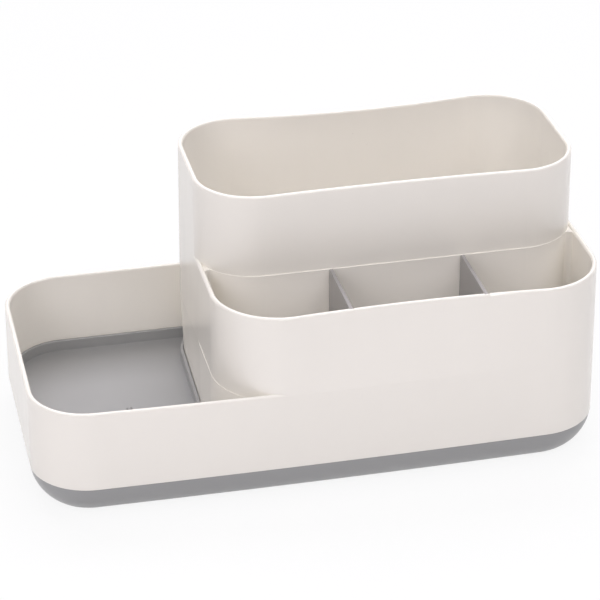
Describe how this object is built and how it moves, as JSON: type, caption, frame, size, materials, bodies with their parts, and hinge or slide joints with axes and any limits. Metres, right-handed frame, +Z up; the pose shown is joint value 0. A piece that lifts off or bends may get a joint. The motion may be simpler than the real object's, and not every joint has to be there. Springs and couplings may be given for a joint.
{
  "type": "desk organizer",
  "caption": "Stepped desktop organizer: a white shell with a low tray, a divided front section and a tall rear bin, on a gray base tray, with lift-out dividers.",
  "frame": {"origin": "on the table, under the middle of the object's box", "axes": "+X to the right along the width, +Y from front to back, +Z up"},
  "size_m": [0.2918, 0.1502, 0.1423],
  "materials": {
    "shell": "smooth warm white moulding, glossy",
    "base": "smooth mid gray moulding, satin gloss",
    "divider": "smooth mid gray plate",
    "foot": "dark gray soft rubber"
  },
  "bodies": {
    "base": {"base_tray": "base", "foot_front_left": "foot", "foot_front_right": "foot", "foot_rear_left": "foot", "foot_rear_right": "foot"},
    "shell": {"body_shell": "shell"},
    "left_divider": {"divider_left": "divider"},
    "right_divider": {"divider_right": "divider"}
  },
  "joints": [
    {"name": "shell_lift", "type": "slide", "parent": "base", "child": "shell", "axis": [0, 0, 1], "range_m": [0, 0.05]},
    {"name": "divider_left_lift", "type": "slide", "parent": "shell", "child": "left_divider", "axis": [0, 0, 1], "range_m": [0, 0.095]},
    {"name": "divider_right_lift", "type": "slide", "parent": "shell", "child": "right_divider", "axis": [0, 0, 1], "range_m": [0, 0.095]}
  ]
}
